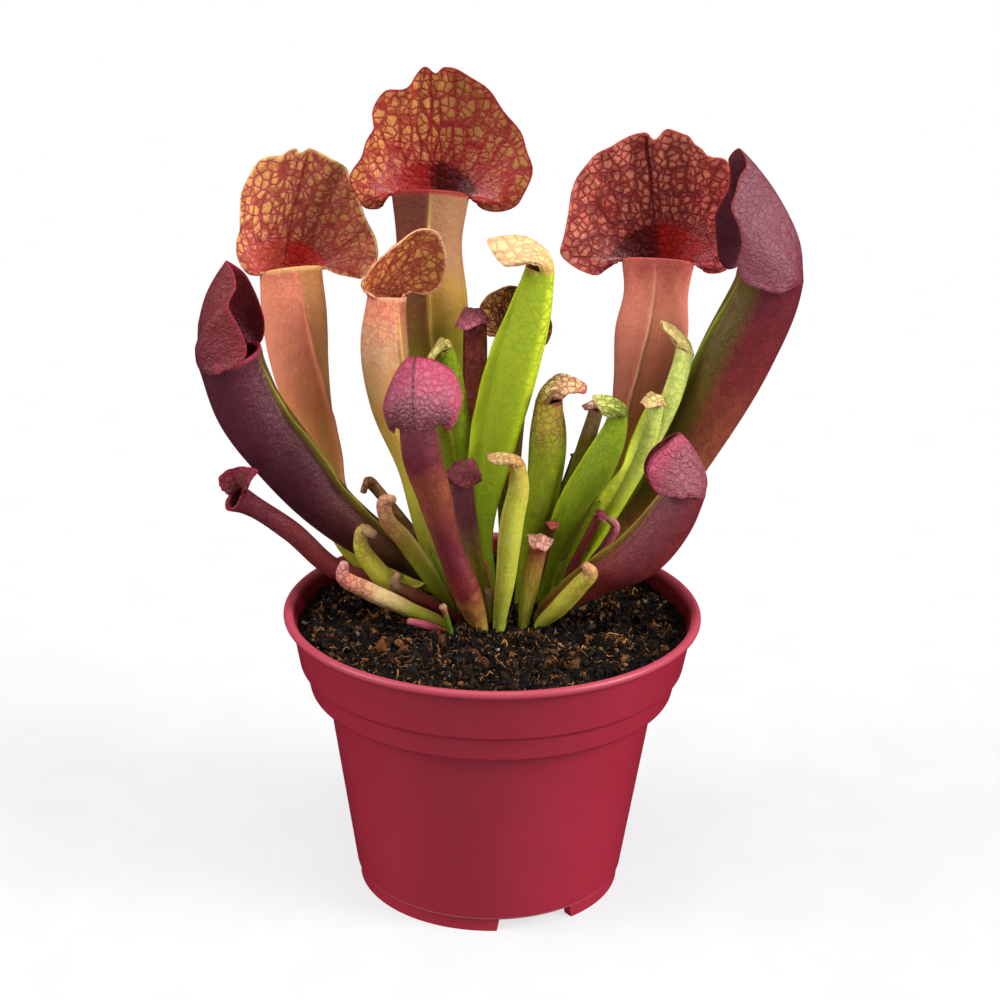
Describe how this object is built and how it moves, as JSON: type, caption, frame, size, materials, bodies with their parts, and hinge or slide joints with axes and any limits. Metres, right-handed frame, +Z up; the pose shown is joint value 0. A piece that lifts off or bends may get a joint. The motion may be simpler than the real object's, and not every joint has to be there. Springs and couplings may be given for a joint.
{
  "type": "potted pitcher plant",
  "caption": "Young trumpet pitcher plant with hooded tubular leaves growing from peat in a round tapered nursery pot.",
  "frame": {"origin": "on the pot's axis at the level its foot ring stands on, at the middle of the outline in plan", "axes": "+Z up along the pot's axis, -Y towards the front that the open hoods face"},
  "size_m": [0.1702, 0.12, 0.23],
  "materials": {
    "pot_plastic": "satin",
    "peat": "matte",
    "rhizome_bark": "matte",
    "leaf_open_hood": "satin",
    "leaf_maroon": "satin",
    "leaf_purple": "satin",
    "leaf_orange": "satin",
    "leaf_lime": "satin",
    "leaf_netted": "satin",
    "leaf_yellow": "satin",
    "leaf_brown": "satin",
    "leaf_pink": "satin"
  },
  "bodies": {
    "root": {"pot": "pot_plastic", "soil": "peat", "rhizome": "rhizome_bark", "leaf_hood_left": "leaf_open_hood", "leaf_hood_centre": "leaf_open_hood", "leaf_hood_right": "leaf_open_hood", "leaf_maroon_left": "leaf_maroon", "leaf_maroon_right": "leaf_maroon", "leaf_dark_small_left": "leaf_maroon", "leaf_dark_cap_right": "leaf_maroon", "leaf_dark_cap_middle": "leaf_maroon", "leaf_purple_low_right": "leaf_purple", "leaf_pink_front": "leaf_purple", "leaf_purple_cap": "leaf_purple", "leaf_purple_stalk": "leaf_purple", "leaf_brown_cap": "leaf_purple", "leaf_orange_left": "leaf_orange", "leaf_lime_tall": "leaf_lime", "leaf_green_curled": "leaf_lime", "leaf_ruffled": "leaf_lime", "leaf_hook_behind_curled": "leaf_lime", "leaf_green_hook": "leaf_lime", "blade_right": "leaf_lime", "blade_front_left": "leaf_lime", "leaf_netted_green": "leaf_netted", "leaf_netted_brown": "leaf_netted", "leaf_yellow_tall": "leaf_yellow", "leaf_pale_front": "leaf_yellow", "leaf_short_cap": "leaf_brown", "leaf_small_cap_back": "leaf_brown", "leaf_dried_brown": "leaf_brown", "leaf_hook_short_left": "leaf_brown", "leaf_hook_left": "leaf_brown", "leaf_lying_tan": "leaf_brown", "leaf_stalked_bud": "leaf_brown", "leaf_hook_low_right": "leaf_brown", "leaf_tiny_hook": "leaf_brown", "leaf_orange_bud": "leaf_brown", "blade_back": "leaf_brown", "leaf_pink_bud": "leaf_pink", "leaf_pink_hook": "leaf_pink"}
  },
  "joints": []
}
